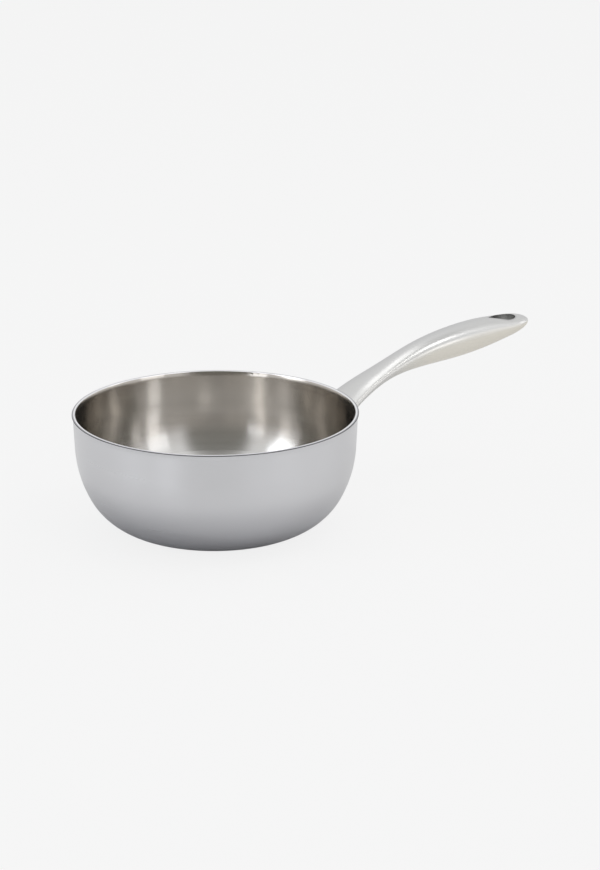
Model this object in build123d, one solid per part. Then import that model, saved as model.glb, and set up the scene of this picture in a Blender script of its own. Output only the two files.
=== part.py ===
from build123d import *
import math
import os

# Saucier pan: a clad sheet bowl with a hollow welded handle.
# Millimetres. The origin is the centre of the flat underside, +Z is up, and the handle points along +X.

# Bowl, measured on its outside
rim_radius = 100.0          # straight wall, carried up to the rim
pan_height = 83.9
flat_share = 0.48           # of the rim radius: flat that stands on the hob
corner_share = 0.47         # lower, tighter curve beside the flat
body_share = 0.82           # upper, wider curve that runs into the wall
wall_lean = 2.5             # degrees outwards from upright
lip_bend_radius = 6.0       # pouring lip, turned outwards
lip_turn = 34.0             # degrees that the lip turns past the wall
lip_outer_round = 0.5
lip_inner_round = 0.3

# Clad sheet, from the outside in
outer_ply_thickness = 0.4
core_thickness = 1.5
lining_thickness = 0.4

# Handle, along the line of its widest points
handle_reach = 154.8        # from the rim radius to the tip
handle_root_drop = 9.0      # below the rim, at the rim radius
handle_rise = 43.9          # from there to the tip
grip_width = 26.0
grip_crown = 9.4            # height above the widest line
grip_belly = 13.6           # depth below the widest line
tip_length = 15.5           # rounded end
handle_wall = 1.2           # each pressed shell
foot_plate_thickness = 2.0

base_radius = rim_radius * flat_share
corner_radius = rim_radius * corner_share
body_radius = rim_radius * body_share

# Stations along the handle. Each share is of the size named beside it.
reach_shares = (-0.06, 0.0, 0.094, 0.215, 0.40, 0.60, 0.80, 0.90, 1.0)
rise_shares = (-0.139, 0.0, 0.214, 0.433, 0.663, 0.817, 0.908, 0.952, 1.0)
width_shares = (1.70, 1.446, 1.154, 0.904, 0.865, 0.962, 1.0, 0.99, 0.98)
crown_shares = (0.40, 0.40, 0.40, 0.42, 0.755, 0.93, 0.84, 0.59, 0.40)
belly_shares = (0.75, 0.46, 0.40, 0.455, 0.755, 1.0, 0.825, 0.61, 0.37)

# Fullness of the handle's section: 2 is an ellipse, more is squarer
crown_power = 2.2
belly_power = 2.1
section_points = 20
tip_power = 0.75            # how the rounded end closes: less is blunter
tip_steps = 4               # sections in the rounded end
slope_share = 0.001         # of the reach, each way, over which the handle's slope is taken

# Hanging eye, a teardrop whose point looks towards the bowl
eye_length = 21.5
eye_radius = 7.8
eye_to_tip = 9.15
eye_point_round = 0.8
sleeve_wall = 1.0

overrun = 20.0              # what cutting bodies reach past the part


def arc_point(centre, radius, angle):
    return centre + Vector(math.cos(math.radians(angle)), math.sin(math.radians(angle))) * radius


def below_surface(inset):
    # Half section of all that lies inside the bowl's outer surface moved in by inset, carried up past the rim
    wall_out = Vector(math.cos(math.radians(wall_lean)), -math.sin(math.radians(wall_lean)))
    wall_down = Vector(wall_out.Y, -wall_out.X)
    corner_centre = Vector(base_radius, corner_radius)

    # The upper curve is tangent to the wall and holds the lower curve inside it
    below_rim = Vector(rim_radius, pan_height) - wall_out * body_radius
    from_corner = below_rim - corner_centre
    along = from_corner.dot(wall_down)
    spread = from_corner.dot(from_corner) - (body_radius - corner_radius) ** 2
    slide = -along - math.sqrt(along ** 2 - spread)
    body_centre = below_rim + wall_down * slide
    meeting = corner_centre - body_centre
    meeting_angle = math.degrees(math.atan2(meeting.Y, meeting.X))

    # The lip ends at the rim's height on the outer surface
    lip_lean = wall_lean + lip_turn
    lip_centre_z = pan_height - lip_bend_radius * math.sin(math.radians(lip_lean))
    lip_start_z = lip_centre_z - lip_bend_radius * wall_out.Y
    lip_start_r = rim_radius - (pan_height - lip_start_z) * math.tan(math.radians(wall_lean))
    lip_centre = Vector(lip_start_r + lip_bend_radius * wall_out.X, lip_centre_z)

    foot = Vector(base_radius, inset)
    wall_low = arc_point(body_centre, body_radius - inset, -wall_lean)
    lip_low = arc_point(lip_centre, lip_bend_radius + inset, 180 - wall_lean)
    lip_top = arc_point(lip_centre, lip_bend_radius + inset, 180 - lip_lean)
    past_rim = lip_top + Vector(math.sin(math.radians(lip_lean)), math.cos(math.radians(lip_lean))) * overrun
    outline = [
        Line((0, inset), foot),
        CenterArc(corner_centre, corner_radius - inset, -90, meeting_angle + 90),
        CenterArc(body_centre, body_radius - inset, meeting_angle, -wall_lean - meeting_angle),
        Line(wall_low, lip_low),
        CenterArc(lip_centre, lip_bend_radius + inset, 180 - wall_lean, -lip_turn),
        Line(lip_top, past_rim),
        Line(past_rim, (0, past_rim.Y)),
        Line((0, past_rim.Y), (0, inset)),
    ]
    return make_face(outline)


def turned(section):
    return revolve(Plane.XZ * section, Axis.Z)


def sheet_section():
    # Whole clad sheet, ground flat at the rim with its two edges eased
    sheet_thickness = outer_ply_thickness + core_thickness + lining_thickness
    above_rim = Pos(0, pan_height) * Rectangle(
        2 * (rim_radius + overrun), pan_height, align=(Align.CENTER, Align.MIN)
    )
    sheet = below_surface(0) - below_surface(sheet_thickness) - above_rim
    rim_corners = sheet.vertices().group_by(Axis.Y)[-1].sort_by(Axis.X)
    sheet = fillet(rim_corners[-1], lip_outer_round)
    rim_corners = sheet.vertices().filter_by(lambda v: abs(v.Y - pan_height) < lip_inner_round / 2).sort_by(Axis.X)
    return fillet(rim_corners[0], lip_inner_round)


def make_plies():
    sheet = sheet_section()
    inside_outer_ply = below_surface(outer_ply_thickness)
    inside_core = below_surface(outer_ply_thickness + core_thickness)
    return {
        "outer_ply": turned(sheet - inside_outer_ply),
        "aluminium_core": turned((sheet & inside_outer_ply) - inside_core),
        "cooking_ply": turned(sheet & inside_core),
    }


def smooth_along(shares):
    # Natural cubic through the handle's stations: gives the share at any share of the reach
    last = len(reach_shares) - 1
    gaps = [reach_shares[i + 1] - reach_shares[i] for i in range(last)]
    slopes = [(shares[i + 1] - shares[i]) / gaps[i] for i in range(last)]
    carried, bends = [0.0], [0.0]
    for i in range(1, last):
        pivot = 2 * (gaps[i - 1] + gaps[i]) - gaps[i - 1] * carried[-1]
        carried.append(gaps[i] / pivot)
        bends.append((6 * (slopes[i] - slopes[i - 1]) - gaps[i - 1] * bends[-1]) / pivot)
    bends.append(0.0)
    for i in range(last - 1, 0, -1):
        bends[i] -= carried[i] * bends[i + 1]

    def share_at(reach):
        i = max(k for k in range(last) if k == 0 or reach_shares[k] <= reach)
        before, after = reach - reach_shares[i], reach_shares[i + 1] - reach
        bend = bends[i] * after * (after ** 2 - gaps[i] ** 2) + bends[i + 1] * before * (before ** 2 - gaps[i] ** 2)
        return (shares[i] * after + shares[i + 1] * before + bend / 6) / gaps[i]

    return share_at


def handle_centre(reach):
    # Point on the line of the handle's widest points
    root_z = pan_height - handle_root_drop
    return Vector(rim_radius + handle_reach * reach, 0, root_z + handle_rise * smooth_along(rise_shares)(reach))


def handle_plane(reach):
    # Square to that line, with local X across the handle and local Y up
    ahead = handle_centre(reach + slope_share) - handle_centre(reach - slope_share)
    return Plane(origin=handle_centre(reach), x_dir=(0, 1, 0), z_dir=ahead)


def handle_stations(inset):
    # Even steps up to the rounded end, then even angles round it, each with how far the end has closed
    end_share = 1 - inset / handle_reach
    round_share = 1 - tip_length / handle_reach
    step = (end_share - round_share) * math.pi / 2 / tip_steps
    length = round_share - reach_shares[0]
    count = round(length / step)
    stations = [(reach_shares[0] + length * index / count, 1.0) for index in range(count)]
    for index in range(tip_steps):
        angle = math.pi / 2 * index / tip_steps
        stations.append((round_share + (end_share - round_share) * math.sin(angle), math.cos(angle) ** tip_power))
    return stations, end_share


def handle_section(plane, width, crown, belly):
    # Closed curve of two half superellipses that meet at the widest line
    points = []
    for index in range(section_points):
        angle = 2 * math.pi * index / section_points - math.pi / 2
        height, power = (crown, crown_power) if math.sin(angle) > 0 else (belly, belly_power)
        across = math.copysign(abs(math.cos(angle)) ** (2 / power), math.cos(angle))
        up = math.copysign(abs(math.sin(angle)) ** (2 / power), math.sin(angle))
        points.append((width / 2 * across, height * up))
    return plane * make_face(Spline(*points, periodic=True))


def handle_body(inset):
    # Solid form of the handle, moved in by inset on every side
    width_at = smooth_along(width_shares)
    crown_at = smooth_along(crown_shares)
    belly_at = smooth_along(belly_shares)
    stations, end_share = handle_stations(inset)
    sections = []
    for reach, closing in stations:
        width = (grip_width * width_at(reach) - 2 * inset) * closing
        crown = (grip_crown * crown_at(reach) - inset) * closing
        belly = (grip_belly * belly_at(reach) - inset) * closing
        sections.append(handle_section(handle_plane(reach), width, crown, belly))
    return loft(sections + [Vertex(handle_centre(end_share))])


def below_seam():
    # Everything under the widest line, where the two pressed shells are welded
    stations, end_share = handle_stations(0)
    seam = Spline(*[handle_centre(reach) for reach, closing in stations], handle_centre(end_share))
    root, tip = seam.position_at(0), seam.position_at(1)
    past_tip = tip + Vector(overrun, 0, 0)
    low_tip = Vector(past_tip.X, 0, 0)
    low_root = Vector(root.X, 0, 0)
    outline = [
        seam,
        Line(tip, past_tip),
        Line(past_tip, low_tip),
        Line(low_tip, low_root),
        Line(low_root, root),
    ]
    return extrude(make_face(outline), amount=grip_width * max(width_shares), both=True)


def teardrop():
    # The round end is about the local origin, and the point lies along -X
    point_distance = eye_length - eye_radius
    opening = math.acos(eye_radius / point_distance)
    touch_x = -eye_radius * math.cos(opening)
    touch_y = eye_radius * math.sin(opening)
    point = (-point_distance, 0)
    outline = [
        Line(point, (touch_x, -touch_y)),
        ThreePointArc((touch_x, -touch_y), (eye_radius, 0), (touch_x, touch_y)),
        Line((touch_x, touch_y), point),
    ]
    face = make_face(outline)
    return fillet(face.vertices().sort_by(Axis.X)[0], eye_point_round)


def eye_plane():
    # Square to the handle's line, at the centre of the eye's round end, with local X towards the tip
    across = handle_plane(1 - (eye_to_tip + eye_radius) / handle_reach)
    return Plane(origin=across.origin, x_dir=across.z_dir, z_dir=across.y_dir)


def through_handle(section):
    return extrude(eye_plane() * section, amount=grip_crown + grip_belly, both=True)


def make_handle():
    whole = handle_body(0)
    eye = teardrop()
    sleeve_outline = offset(eye, sleeve_wall)
    wall_solid = turned(below_surface(0))
    foot_solid = turned(below_surface(-foot_plate_thickness))
    shells = whole - handle_body(handle_wall) - through_handle(sleeve_outline) - foot_solid
    lower_half = below_seam()
    return {
        "handle_top_shell": shells - lower_half,
        "handle_bottom_shell": shells & lower_half,
        "handle_foot_plate": (whole & foot_solid) - wall_solid,
        "hanging_eye_sleeve": whole & through_handle(sleeve_outline - eye),
    }


os.makedirs("parts", exist_ok=True)
for name, piece in {**make_plies(), **make_handle()}.items():
    export_step(piece, f"parts/{name}.step")
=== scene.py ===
import bpy
import math
from mathutils import Matrix, Vector

# Saucier pan in clad stainless steel, on a pale floor under soft studio light.
# Metres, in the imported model's frame: Z is up and the handle points along +X.

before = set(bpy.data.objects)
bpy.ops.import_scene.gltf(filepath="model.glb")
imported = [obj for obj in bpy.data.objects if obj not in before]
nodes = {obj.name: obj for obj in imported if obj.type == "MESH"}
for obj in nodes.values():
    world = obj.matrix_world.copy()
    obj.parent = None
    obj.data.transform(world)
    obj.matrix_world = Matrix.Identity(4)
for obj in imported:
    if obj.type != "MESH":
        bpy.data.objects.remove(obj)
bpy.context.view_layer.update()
print("frame loaded:", ", ".join(sorted(nodes)))


def toLinear(hexColour):
    # sRGB hex to the linear colour that a shader takes
    channels = [int(hexColour[i:i + 2], 16) / 255 for i in (1, 3, 5)]
    linear = [c / 12.92 if c <= 0.04045 else ((c + 0.055) / 1.055) ** 2.4 for c in channels]
    return tuple(linear) + (1.0,)


def addNode(tree, kind, settings=None, links=None):
    # settings: socket name or number, or a property; links: socket -> output socket
    node = tree.nodes.new(kind)
    for key, value in (settings or {}).items():
        if isinstance(key, int) or key in node.inputs:
            node.inputs[key].default_value = value
        else:
            setattr(node, key, value)
    for key, source in (links or {}).items():
        tree.links.new(source, node.inputs[key])
    return node


def newMaterial(name):
    material = bpy.data.materials.new(name)
    material.use_nodes = True
    material.node_tree.nodes.clear()
    return material, material.node_tree


def dress(nodeName, material):
    obj = nodes[nodeName]
    obj.data.materials.clear()
    obj.data.materials.append(material)


noiseMiddle = {"From Min": 0.3, "From Max": 0.7}      # nearly all of a noise texture's values lie here
lineDepth = 0.0001              # how deep a brushed line or a scratch may be
rampHeight = 0.1                # the tones of a ring-brushed metal are given over this height
edgeFade = 0.0001               # height over which the face gives way to the ground edge
edgeRadii = (0.0992, 0.0999)    # the ground edge goes from its inner to its outer tone here
lineDetail, bandDetail, ringFade = 3.0, 2.0, 0.6
acrossLines = 0.25              # a quarter turn from the lines


def ringBrushed(name, look):
    # Metal brushed on a turning fixture: the lines run round the axis,
    # so a reflection smears up and down the wall
    material, tree = newMaterial(name)
    place = addNode(tree, "ShaderNodeTexCoord").outputs["Object"]
    split = addNode(tree, "ShaderNodeSeparateXYZ", links={0: place})
    height = split.outputs["Z"]
    flat = addNode(tree, "ShaderNodeCombineXYZ", links={"X": split.outputs["X"], "Y": split.outputs["Y"]}).outputs[0]
    radius = addNode(tree, "ShaderNodeVectorMath", {"operation": "LENGTH"}, {0: flat}).outputs["Value"]
    heading = addNode(tree, "ShaderNodeVectorMath", {"operation": "NORMALIZE"}, {0: flat})
    around = addNode(tree, "ShaderNodeSeparateXYZ", links={0: heading.outputs[0]})
    # radius and height together grow all the way up the wall,
    # so they count the rings on the flat and on the wall alike
    climb = addNode(tree, "ShaderNodeMath", {"operation": "ADD"}, {0: radius, 1: height})

    def ringNoise(pitch, reach, detail):
        # pitch is metres from ring to ring; a small reach makes rings that run far round
        rings = addNode(tree, "ShaderNodeMath", {"operation": "MULTIPLY", 1: 1 / pitch}, {0: climb.outputs[0]})
        sweep = addNode(tree, "ShaderNodeCombineXYZ", links={
            "X": around.outputs["X"], "Y": around.outputs["Y"], "Z": rings.outputs[0]})
        stretch = addNode(tree, "ShaderNodeMapping", {"Scale": (reach, reach, 1)}, {"Vector": sweep.outputs[0]})
        return addNode(tree, "ShaderNodeTexNoise", {
            "Scale": 1.0, "Detail": detail, "Roughness": ringFade,
        }, {"Vector": stretch.outputs[0]}).outputs[0]

    lines = ringNoise(look["linePitch"], look["lineReach"], lineDetail)
    bands = ringNoise(look["bandPitch"], look["bandReach"], bandDetail)
    smoothest, roughest = look["roughness"]
    lineRough = addNode(tree, "ShaderNodeMapRange", {
        **noiseMiddle, "To Min": smoothest, "To Max": roughest}, {"Value": lines})
    bandRough = addNode(tree, "ShaderNodeMapRange", {
        **noiseMiddle, "To Min": -look["bandRough"], "To Max": look["bandRough"]}, {"Value": bands})
    rough = addNode(tree, "ShaderNodeMath", {"operation": "ADD"}, {0: lineRough.outputs[0], 1: bandRough.outputs[0]})

    # the tone changes with the height; on the two steels this is painted shade and painted light
    level = addNode(tree, "ShaderNodeMapRange", {"From Max": rampHeight}, {"Value": height})
    ramp = addNode(tree, "ShaderNodeValToRGB", links={0: level.outputs[0]})
    stops = ramp.color_ramp.elements
    while len(stops) < len(look["tones"]):
        stops.new(0.5)      # its real place comes next
    for stop, (stopHeight, colour) in zip(stops, look["tones"]):
        stop.position = stopHeight / rampHeight
        stop.color = toLinear(colour)
    shade = addNode(tree, "ShaderNodeMapRange", {"To Min": look["groove"], "To Max": 1.0}, {"Value": lines})
    tone = addNode(tree, "ShaderNodeVectorMath", {"operation": "SCALE"}, {
        0: ramp.outputs["Color"], "Scale": shade.outputs[0]}).outputs[0]

    # above edgeFrom the sheet is cut and ground, which takes another tone than its face; where that tone is dark, on
    # the outer ply and the core's outer half, it is painted shade for the dark line round the rim's outer corner
    edge = addNode(tree, "ShaderNodeMapRange", {
        "From Min": look["edgeFrom"], "From Max": look["edgeFrom"] + edgeFade}, {"Value": height}).outputs[0]
    outward = addNode(tree, "ShaderNodeMapRange", {
        "From Min": edgeRadii[0], "From Max": edgeRadii[1]}, {"Value": radius}).outputs[0]
    ground = addNode(tree, "ShaderNodeMix", {
        "data_type": "RGBA", "A": toLinear(look["edgeInner"]), "B": toLinear(look["edgeOuter"]),
    }, {"Factor": outward}).outputs["Result"]
    tone = addNode(tree, "ShaderNodeMix", {"data_type": "RGBA"}, {
        "Factor": edge, "A": tone, "B": ground}).outputs["Result"]
    grazing = addNode(tree, "ShaderNodeMix", {
        "data_type": "RGBA", "A": toLinear("#FFFFFF"), "B": toLinear(look["edgeGrazing"]),
    }, {"Factor": edge}).outputs["Result"]

    bump = addNode(tree, "ShaderNodeBump", {"Strength": look["bump"], "Distance": lineDepth}, {"Height": lines})
    tangent = addNode(tree, "ShaderNodeTangent", {"direction_type": "RADIAL", "axis": "Z"})
    shader = addNode(tree, "ShaderNodeBsdfPrincipled", {
        "Metallic": 1.0, "Anisotropic": look["anisotropic"], "Anisotropic Rotation": acrossLines,
    }, {
        "Base Color": tone, "Specular Tint": grazing, "Roughness": rough.outputs[0],
        "Normal": bump.outputs[0], "Tangent": tangent.outputs[0],
    })
    addNode(tree, "ShaderNodeOutputMaterial", links={"Surface": shader.outputs[0]})
    return material


scratchDetail, scratchFade, driftDetail = 3.0, 0.55, 2.0


def satinPolished(name, look):
    # Pressed stainless polished by hand on a soft wheel: nearly even,
    # with faint long scratches and a slow unevenness
    material, tree = newMaterial(name)
    place = addNode(tree, "ShaderNodeTexCoord").outputs["Object"]
    along = addNode(tree, "ShaderNodeMapping", {
        "Rotation": (0, look["lineTilt"], 0), "Scale": look["lineScale"],
    }, {"Vector": place})
    lines = addNode(tree, "ShaderNodeTexNoise", {
        "Scale": 1.0, "Detail": scratchDetail, "Roughness": scratchFade,
    }, {"Vector": along.outputs[0]}).outputs[0]
    drift = addNode(tree, "ShaderNodeTexNoise", {
        "Scale": look["driftScale"], "Detail": driftDetail,
    }, {"Vector": place}).outputs[0]
    smoothest, roughest = look["roughness"]
    lineRough = addNode(tree, "ShaderNodeMapRange", {
        **noiseMiddle, "To Min": smoothest, "To Max": roughest}, {"Value": lines})
    driftRough = addNode(tree, "ShaderNodeMapRange", {
        **noiseMiddle, "To Min": -look["driftRough"], "To Max": look["driftRough"]}, {"Value": drift})
    evenRough = addNode(tree, "ShaderNodeMath", {"operation": "ADD"}, {
        0: lineRough.outputs[0], 1: driftRough.outputs[0]})
    reach = addNode(tree, "ShaderNodeSeparateXYZ", links={0: place}).outputs["X"]
    normal = addNode(tree, "ShaderNodeNewGeometry").outputs["Normal"]
    upward = addNode(tree, "ShaderNodeSeparateXYZ", links={0: normal}).outputs["Z"]

    # the end of the grip is left matter, so that lamps fade out there
    endRough = addNode(tree, "ShaderNodeMapRange", {
        "From Min": look["endReach"][0], "From Max": look["endReach"][1], "To Max": look["endRough"],
    }, {"Value": reach})
    # the flank beside the weld was dressed with a coarser wheel, so it blurs the lamps
    nearRoot = addNode(tree, "ShaderNodeMapRange", {
        "From Min": look["dressedAndShadedReach"][0], "From Max": look["dressedAndShadedReach"][1]}, {"Value": reach})
    sideways = addNode(tree, "ShaderNodeMapRange", {
        "From Min": look["dressedAndShadedTilt"][0], "From Max": look["dressedAndShadedTilt"][1]}, {"Value": upward})
    dressedAndShaded = addNode(tree, "ShaderNodeMath", {"operation": "MULTIPLY"}, {
        0: nearRoot.outputs[0], 1: sideways.outputs[0]}).outputs[0]
    dressedRough = addNode(tree, "ShaderNodeMath", {"operation": "MULTIPLY", 1: look["dressedRough"]}, {0: dressedAndShaded})
    addedRough = addNode(tree, "ShaderNodeMath", {"operation": "ADD"}, {
        0: endRough.outputs[0], 1: dressedRough.outputs[0]})
    rough = addNode(tree, "ShaderNodeMath", {"operation": "ADD"}, {
        0: evenRough.outputs[0], 1: addedRough.outputs[0]})

    tone = addNode(tree, "ShaderNodeMix", {
        "data_type": "RGBA", "A": toLinear(look["groove"]), "B": toLinear(look["steel"]),
    }, {"Factor": lines}).outputs["Result"]
    # painted reflection: the flanks, which face sideways and down, are drawn warmer and paler than the top
    flankReflection = addNode(tree, "ShaderNodeMapRange", {
        "From Min": look["flankReflectionTilt"][0], "From Max": look["flankReflectionTilt"][1]}, {"Value": upward})
    tone = addNode(tree, "ShaderNodeMix", {"data_type": "RGBA", "B": toLinear(look["flankReflection"])}, {
        "Factor": flankReflection.outputs[0], "A": tone}).outputs["Result"]
    # painted shade: the flank beside the weld is also drawn darker
    tone = addNode(tree, "ShaderNodeMix", {"data_type": "RGBA", "B": toLinear(look["dressedAndShaded"])}, {
        "Factor": dressedAndShaded, "A": tone}).outputs["Result"]

    bump = addNode(tree, "ShaderNodeBump", {"Strength": look["bump"], "Distance": lineDepth}, {"Height": lines})
    shader = addNode(tree, "ShaderNodeBsdfPrincipled", {"Metallic": 1.0}, {
        "Base Color": tone, "Roughness": rough.outputs[0], "Normal": bump.outputs[0]})
    addNode(tree, "ShaderNodeOutputMaterial", links={"Surface": shader.outputs[0]})
    return material


# Magnetic stainless, brushed with grit 240: an even satin grey; its darker tone towards the foot is painted shade.
# The real lines are under 0.1 mm apart and the photo shows none, so they are drawn 0.9 mm apart and very faint.
# The bands, 7 mm wide, come from the belt's passes.
outsideLook = {
    "tones": ((0.002, "#AFAFB3"), (0.046, "#DEDEE0")),      # height and tone
    "groove": 0.985, "linePitch": 0.0009, "lineReach": 0.8, "roughness": (0.262, 0.270),
    "bandPitch": 0.007, "bandReach": 0.6, "bandRough": 0.006,
    "anisotropic": 0.8, "bump": 0.004,
    # the dark edge tone and dim grazing tint are painted shade for the dark line round the rim's outer corner
    "edgeInner": "#464648", "edgeOuter": "#464648", "edgeGrazing": "#909090", "edgeFrom": 0.0833,
}
dress("outer_ply", ringBrushed("Magnetic stainless, ring brushed", outsideLook))

# 18/10 lining, brushed finer and then wiped with a soft mop: it mirrors more, and the lamps show as upright streaks.
# Its lines are drawn 0.8 mm apart, about ten times coarser than real.
insideLook = {
    # its tones are painted: brighter low on the wall as painted light, darker on the flat as painted shade that dims a
    # lamp's reflection
    "tones": ((0.004, "#B0ADA8"), (0.014, "#DFDFDE"), (0.060, "#C2BDB6")),
    "groove": 0.94, "linePitch": 0.0008, "lineReach": 0.8, "roughness": (0.165, 0.195),
    "bandPitch": 0.009, "bandReach": 0.6, "bandRough": 0.015,
    "anisotropic": 0.85, "bump": 0.003,
    "edgeInner": "#F4F4F4", "edgeOuter": "#F4F4F4", "edgeGrazing": "#FFFFFF", "edgeFrom": 0.0835,
}
dress("cooking_ply", ringBrushed("18/10 stainless lining, ring brushed", insideLook))

# Aluminium, ground flush at the rim: a matt ring between the two steels, pale inside; its greyer outer half is painted
# shade for the dark line round the rim's outer corner.
# The grinding's lines are under 0.1 mm apart, and drawn 0.5 mm apart.
coreLook = {
    "tones": ((0.0, "#ECECEE"), (0.1, "#ECECEE")),
    "groove": 0.92, "linePitch": 0.0005, "lineReach": 2.0, "roughness": (0.38, 0.46),
    "bandPitch": 0.007, "bandReach": 0.6, "bandRough": 0.02,
    "anisotropic": 0.3, "bump": 0.02,
    "edgeInner": "#FAFAFA", "edgeOuter": "#A8A8AC", "edgeGrazing": "#FFFFFF", "edgeFrom": 0.0835,
}
dress("aluminium_core", ringBrushed("Aluminium core, ground", coreLook))

# Handle stainless, a soft white shine: scratches 0.6 mm apart that follow the grip, really finer than 0.1 mm.
# A reach is a distance along X, and a tilt is how far the surface faces up.
handleLook = {
    "steel": "#D6D6D5", "groove": "#D1D1CF", "roughness": (0.28, 0.32), "bump": 0.01,
    "lineTilt": math.radians(15), "lineScale": (30, 1600, 1600),
    "driftScale": 30.0, "driftRough": 0.015,      # patches about 33 mm wide
    "endReach": (0.185, 0.205), "endRough": 0.15,
    # the flank tone is a painted warm reflection on the sides of the grip
    "flankReflection": "#E9E5DB", "flankReflectionTilt": (0.55, -0.1),
    # the dressed tone is painted shade on the flank beside the weld
    "dressedAndShaded": "#D8D7D4", "dressedRough": 0.15, "dressedAndShadedReach": (0.170, 0.135), "dressedAndShadedTilt": (0.86, 0.62),
}
handleSteel = satinPolished("18/10 stainless, satin polished", handleLook)
for piece in ("handle_top_shell", "handle_bottom_shell", "handle_foot_plate"):
    dress(piece, handleSteel)

# The sleeve is drawn darker and greyer than the grip: painted shade inside the eye
sleeveShadeLook = dict(handleLook, steel="#C2C2C1", groove="#BCBCBB", flankReflection="#C2C2C1", endRough=0.0)
dress("hanging_eye_sleeve", satinPolished("18/10 stainless, eye in painted shade", sleeveShadeLook))
print("materials on:", len(nodes), "nodes")


# The camera, at the photograph's angle
imageSize = (600, 870)
cameraSet = {
    "azimuth": -28.0,        # degrees, from looking along +Y
    "elevation": 17.9,
    "distance": 2.0,         # to the middle of the rim
    "focalPixels": 2852,
    "rimHeight": 0.0839,
    "rimPixel": (215.5, 411.0),
    "sensor": 36.0,          # millimetres, along the image's longer side
    "farthest": 50.0,
}


def aimCamera(settings):
    turn, tilt = math.radians(settings["azimuth"]), math.radians(settings["elevation"])
    ahead = Vector((-math.sin(turn) * math.cos(tilt), math.cos(turn) * math.cos(tilt), -math.sin(tilt)))
    right = Vector((math.cos(turn), math.sin(turn), 0))
    up = right.cross(ahead)
    across = (settings["rimPixel"][0] - imageSize[0] / 2) / settings["focalPixels"]
    down = (settings["rimPixel"][1] - imageSize[1] / 2) / settings["focalPixels"]
    toRim = ahead + right * across - up * down
    data = bpy.data.cameras.new("studioCamera")
    data.sensor_fit = "AUTO"
    data.sensor_width = settings["sensor"]
    data.lens = data.sensor_width * settings["focalPixels"] / imageSize[1]
    data.clip_end = settings["farthest"]
    camera = bpy.data.objects.new("studioCamera", data)
    bpy.context.scene.collection.objects.link(camera)
    place = Vector((0, 0, settings["rimHeight"])) - toRim * settings["distance"]
    camera.matrix_world = Matrix.Translation(place) @ Matrix((right, up, -ahead)).transposed().to_4x4()
    bpy.context.scene.camera = camera
    return camera, ahead, right


camera, lookAhead, lookRight = aimCamera(cameraSet)
bpy.context.scene.view_settings.view_transform = "Standard"
print("camera at", tuple(round(v, 3) for v in camera.location))


def studioDirection(bearing, height):
    # bearing in degrees from the camera's line of sight, clockwise from above
    level = Vector((lookAhead.x, lookAhead.y, 0)).normalized()
    turn, tilt = math.radians(bearing), math.radians(height)
    return (lookRight * math.sin(turn) + level * math.cos(turn)) * math.cos(tilt) + Vector((0, 0, math.sin(tilt)))


# A sheet of white paper for the floor, and the white studio round it. A fade is the bearing and height of
# its middle and the angles, in degrees from there, up to which it is whole and from which nothing is left.
stageSet = {
    "floorSize": 16.0,
    "floorDrop": 0.0002,     # below the pan's foot, so that the two faces don't meet
    "paper": "#F8F8F8",      # as the camera sees it
    "litPaper": "#E6E6E6",
    "shownFloor": 0.90,      # share of the floor's white that is painted for the camera; the rest takes the shadow
    "brightSide": "#F1F1F1", "brightFade": (90, 10, 30, 150),     # the world's light on matt surfaces
    "dimSide": "#C4C4C4",
    "walls": "#F2F2F3",      # this and what follows is what the steel mirrors
    "unlitCeiling": "#D8D8D8", "ceilingFade": (0, 90, 18, 34),
    "backdropFoot": "#E0E0E2", "footFade": (-8, 5, 12, 34),
    "unlitEnd": "#85847F", "endFade": (180, 22, 20, 34),          # behind the camera
}


def addFloor(settings):
    bpy.ops.mesh.primitive_plane_add(size=settings["floorSize"], location=(0, 0, -settings["floorDrop"]))
    floor = bpy.context.object
    floor.name = "studioFloor"
    material, tree = newMaterial("Studio paper, matt white")
    path = addNode(tree, "ShaderNodeLightPath")
    amount = addNode(tree, "ShaderNodeMath", {"operation": "MULTIPLY", 1: settings["shownFloor"]}, {
        0: path.outputs["Is Camera Ray"]})
    paper = addNode(tree, "ShaderNodeBsdfDiffuse", {"Color": toLinear(settings["litPaper"])})
    shown = addNode(tree, "ShaderNodeEmission", {"Color": toLinear(settings["paper"]), "Strength": 1.0})
    mixed = addNode(tree, "ShaderNodeMixShader", links={0: amount.outputs[0], 1: paper.outputs[0], 2: shown.outputs[0]})
    addNode(tree, "ShaderNodeOutputMaterial", links={"Surface": mixed.outputs[0]})
    floor.data.materials.append(material)


def fadeTowards(tree, direction, fade):
    # how much of a part of the studio is left in a direction of the world
    bearing, height, nearAngle, farAngle = fade
    facing = addNode(tree, "ShaderNodeVectorMath", {
        "operation": "DOT_PRODUCT", 1: studioDirection(bearing, height),
    }, {0: direction})
    return addNode(tree, "ShaderNodeMapRange", {
        "interpolation_type": "SMOOTHSTEP",
        "From Min": math.cos(math.radians(farAngle)), "From Max": math.cos(math.radians(nearAngle)),
    }, {"Value": facing.outputs["Value"]}).outputs[0]


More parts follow.
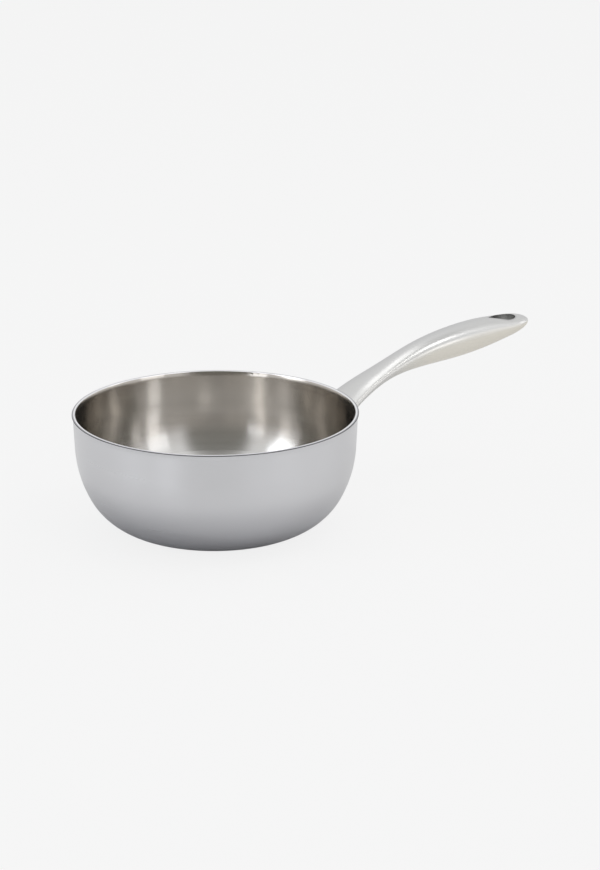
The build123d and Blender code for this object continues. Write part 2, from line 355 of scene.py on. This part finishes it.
def addWorld(settings):
    world = bpy.data.worlds.new("studioWorld")
    bpy.context.scene.world = world
    world.use_nodes = True
    tree = world.node_tree
    tree.nodes.clear()
    path = addNode(tree, "ShaderNodeLightPath")
    direction = addNode(tree, "ShaderNodeTexCoord").outputs["Generated"]
    around = addNode(tree, "ShaderNodeMix", {
        "data_type": "RGBA", "A": toLinear(settings["walls"]), "B": toLinear(settings["unlitCeiling"]),
    }, {"Factor": fadeTowards(tree, direction, settings["ceilingFade"])}).outputs["Result"]
    for place, fade in (("backdropFoot", "footFade"), ("unlitEnd", "endFade")):
        around = addNode(tree, "ShaderNodeMix", {"data_type": "RGBA", "B": toLinear(settings[place])}, {
            "Factor": fadeTowards(tree, direction, settings[fade]), "A": around}).outputs["Result"]
    mattLight = addNode(tree, "ShaderNodeMix", {
        "data_type": "RGBA", "A": toLinear(settings["dimSide"]), "B": toLinear(settings["brightSide"]),
    }, {"Factor": fadeTowards(tree, direction, settings["brightFade"])}).outputs["Result"]
    lit = addNode(tree, "ShaderNodeBackground", {"Strength": 1.0}, {"Color": mattLight})
    mirror = addNode(tree, "ShaderNodeBackground", {"Strength": 1.0}, {"Color": around})
    shown = addNode(tree, "ShaderNodeBackground", {"Color": toLinear(settings["paper"]), "Strength": 1.0})
    mirrored = addNode(tree, "ShaderNodeMath", {"operation": "MAXIMUM"}, {
        0: path.outputs["Is Glossy Ray"], 1: path.outputs["Is Transmission Ray"]})
    matt = addNode(tree, "ShaderNodeMixShader", links={
        0: mirrored.outputs[0], 1: lit.outputs[0], 2: mirror.outputs[0]})
    mixed = addNode(tree, "ShaderNodeMixShader", links={
        0: path.outputs["Is Camera Ray"], 1: matt.outputs[0], 2: shown.outputs[0]})
    addNode(tree, "ShaderNodeOutputWorld", links={"Surface": mixed.outputs[0]})


# Bearing, height and turn in degrees, distance and size in metres.
# Radiance is what a mirror would show of the lamp alone.
lampSet = {
    "overheadSoftbox": {
        "bearing": 122, "height": 67, "turn": 0, "distance": 1.6,
        "size": (0.52, 0.42), "radiance": 2.6, "colour": "#FFFFFF"},
    "overheadStrip": {
        "bearing": -30, "height": 70, "turn": 0, "distance": 1.6,
        "size": (0.30, 0.95), "radiance": 1.4, "colour": "#FFFFFF"},
    "leftSoftbox": {
        "bearing": -113, "height": 24, "turn": -20, "distance": 1.7,
        "size": (0.60, 0.95), "radiance": 2.2, "colour": "#F4F8FF"},
    "leftPanel": {
        "bearing": -145, "height": 9, "turn": 0, "distance": 1.7,
        "size": (0.45, 0.45), "radiance": 1.9, "colour": "#F4F8FF"},
    "rightPanel": {
        "bearing": 122, "height": 17, "turn": 0, "distance": 1.7,
        "size": (0.60, 0.62), "radiance": 0.95, "colour": "#FBFCFF"},
    "rightSoftbox": {
        "bearing": 78, "height": 30, "turn": 0, "distance": 1.7,
        "size": (0.40, 0.75), "radiance": 2.2, "colour": "#FFFFFF"},
}
lampTarget = Vector((0, 0, 0.05))      # about the middle of the pan


def addLamp(name, lamp):
    data = bpy.data.lights.new(name, "AREA")
    data.shape = "RECTANGLE"
    data.size, data.size_y = lamp["size"]
    data.energy = lamp["radiance"] * math.pi * data.size * data.size_y
    data.color = toLinear(lamp["colour"])[:3]
    obj = bpy.data.objects.new(name, data)
    bpy.context.scene.collection.objects.link(obj)
    toLamp = studioDirection(lamp["bearing"], lamp["height"])
    aside = studioDirection(lamp["bearing"] + 90, 0)
    facing = Matrix((aside, toLamp.cross(aside), toLamp)).transposed()
    facing = facing @ Matrix.Rotation(math.radians(lamp["turn"]), 3, "Z")
    obj.matrix_world = Matrix.Translation(lampTarget + toLamp * lamp["distance"]) @ facing.to_4x4()


addFloor(stageSet)
addWorld(stageSet)
for name, lamp in lampSet.items():
    addLamp(name, lamp)
print("studio lit by", len(lampSet), "lamps and panels")
